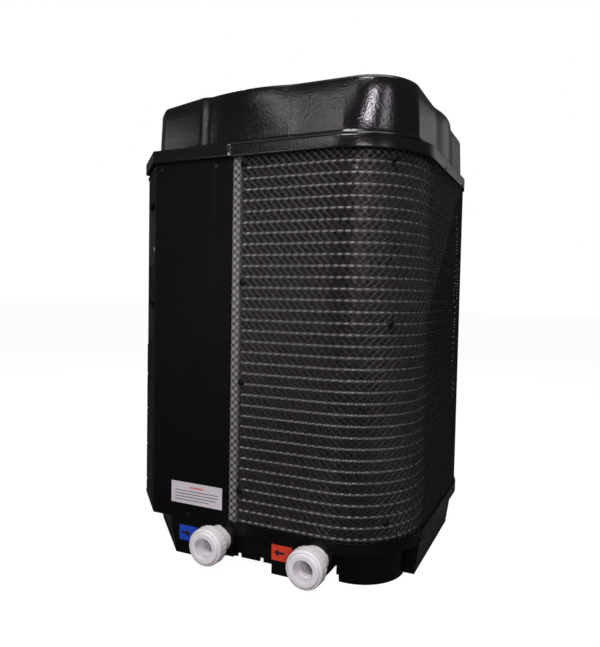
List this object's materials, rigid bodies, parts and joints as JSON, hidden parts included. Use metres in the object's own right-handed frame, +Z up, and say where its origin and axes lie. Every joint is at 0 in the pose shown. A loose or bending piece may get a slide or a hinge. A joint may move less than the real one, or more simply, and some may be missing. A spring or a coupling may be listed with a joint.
{
  "type": "heat pump unit",
  "caption": "Upright square pool heat pump: finned coil round three corners behind net, top fan under a wavy cowl, control corner, and water unions at the foot.",
  "frame": {"origin": "centre of the square cabinet on the plane it stands on, at the underside of the base's middle boss", "axes": "+Z up; front, with the water unions, is -Y; right side is +X; the control corner is at -X -Y"},
  "size_m": [0.8216, 0.8886, 1.209],
  "materials": {
    "cabinet_plastic": "grained black moulding, semi-gloss",
    "panel_paint": "smooth black powder coat, satin",
    "fascia_plastic": "fine matt grain, black",
    "fin_stock": "dark coated fins",
    "galvanised_sheet": "spangled zinc",
    "netting": "black plastic net, slight shine",
    "black_nylon": "moulded nylon, satin",
    "screw_steel": "dark plated steel",
    "guard_wire": "black dipped wire",
    "shroud_plastic": "satin black moulding",
    "fan_plastic": "grey-black glass-filled nylon",
    "motor_paint": "grey-black enamel",
    "bright_steel": "ground steel",
    "white_pvc": "smooth white PVC",
    "tank_plastic": "grey moulded shell",
    "titanium_tube": "dull titanium",
    "copper_tube": "bare copper, lightly tarnished",
    "valve_brass": "machined brass",
    "compressor_paint": "black enamel",
    "mount_rubber": "black rubber",
    "case_plastic": "plain black plastic",
    "circuit_board": "green laminate",
    "display_window": "smoked clear plastic",
    "button_rubber": "grey silicone",
    "capacitor_can": "drawn aluminium",
    "core_steel": "varnished laminations",
    "switchgear_plastic": "pale grey moulding",
    "label_white": "blank white label",
    "label_blue": "blue label with a plain arrow",
    "label_red": "red label with a plain arrow"
  },
  "bodies": {
    "root": {"base_tray": "cabinet_plastic", "panel_foot": "cabinet_plastic", "base_feet": "cabinet_plastic", "drain_spigot": "black_nylon", "evaporator_fins": "fin_stock", "coil_end_plates": "galvanised_sheet", "return_bends": "copper_tube", "coil_guard": "netting", "guard_clips": "black_nylon", "service_panel": "panel_paint", "side_panel": "panel_paint", "control_fascia": "fascia_plastic", "fasteners": "screw_steel", "display_bezel": "case_plastic", "display_lens": "display_window", "controller_case": "case_plastic", "controller_board": "circuit_board", "cable_gland": "black_nylon", "blank_plug": "black_nylon", "electrical_box": "galvanised_sheet", "contactor": "switchgear_plastic", "capacitors": "capacitor_can", "transformer": "core_steel", "terminals": "switchgear_plastic", "top_cowl": "cabinet_plastic", "fan_shroud": "shroud_plastic", "fan_grille": "guard_wire", "motor_case": "motor_paint", "tank_shell": "tank_plastic", "tank_lid": "tank_plastic", "titanium_coil": "titanium_tube", "water_pipes": "white_pvc", "pressure_switch": "valve_brass", "drain_plug": "black_nylon", "union_bodies": "white_pvc", "union_locknuts": "white_pvc", "union_orings": "mount_rubber", "compressor": "compressor_paint", "compressor_grommets": "mount_rubber", "terminal_cover": "case_plastic", "discharge_pipe": "copper_tube", "suction_line": "copper_tube", "liquid_line": "copper_tube", "filter_drier": "copper_tube", "expansion_valve": "valve_brass", "capillaries": "copper_tube", "label_panel": "label_white", "label_inlet": "label_blue", "label_outlet": "label_red"},
    "fan": {"motor_shaft": "bright_steel", "fan": "fan_plastic", "fan_nut": "bright_steel"},
    "armature": {"contactor_armature": "black_nylon"},
    "inlet_tail": {"union_tail_inlet": "white_pvc"},
    "inlet_nut": {"union_nut_inlet": "white_pvc"},
    "outlet_tail": {"union_tail_outlet": "white_pvc"},
    "outlet_nut": {"union_nut_outlet": "white_pvc"},
    "mode_button": {"button_mode": "button_rubber"},
    "down_button": {"button_down": "button_rubber"},
    "up_button": {"button_up": "button_rubber"}
  },
  "joints": [
    {"name": "fan_spin", "type": "hinge", "parent": "root", "child": "fan", "pos_m": [0, 0, 1.08], "axis": [0, 0, 1], "continuous": true},
    {"name": "inlet_tail_slide", "type": "slide", "parent": "root", "child": "inlet_tail", "axis": [0, -1, 0], "range_m": [0, 0.0121]},
    {"name": "inlet_nut_turn", "type": "hinge", "parent": "inlet_tail", "child": "inlet_nut", "pos_m": [-0.08, -0.458, 0.061], "axis": [0, -1, 0], "range_deg": [0, 1080]},
    {"name": "outlet_tail_slide", "type": "slide", "parent": "root", "child": "outlet_tail", "axis": [0, -1, 0], "range_m": [0, 0.0121]},
    {"name": "outlet_nut_turn", "type": "hinge", "parent": "outlet_tail", "child": "outlet_nut", "pos_m": [0.19, -0.458, 0.061], "axis": [0, -1, 0], "range_deg": [0, 1080]},
    {"name": "mode_press", "type": "slide", "parent": "root", "child": "mode_button", "axis": [0.7071, 0.7071, 0], "range_m": [0, 0.001], "stiffness_N_per_m": 500},
    {"name": "down_press", "type": "slide", "parent": "root", "child": "down_button", "axis": [0.7071, 0.7071, 0], "range_m": [0, 0.001], "stiffness_N_per_m": 500},
    {"name": "up_press", "type": "slide", "parent": "root", "child": "up_button", "axis": [0.7071, 0.7071, 0], "range_m": [0, 0.001], "stiffness_N_per_m": 500},
    {"name": "armature_pull", "type": "slide", "parent": "root", "child": "armature", "axis": [0.7071, 0.7071, 0], "range_m": [0, 0.0025], "stiffness_N_per_m": 800}
  ],
  "couplings": [
    {"joint": "inlet_tail_slide", "follows": "inlet_nut_turn", "m_per_rad": 0.00063662},
    {"joint": "outlet_tail_slide", "follows": "outlet_nut_turn", "m_per_rad": 0.00063662}
  ]
}
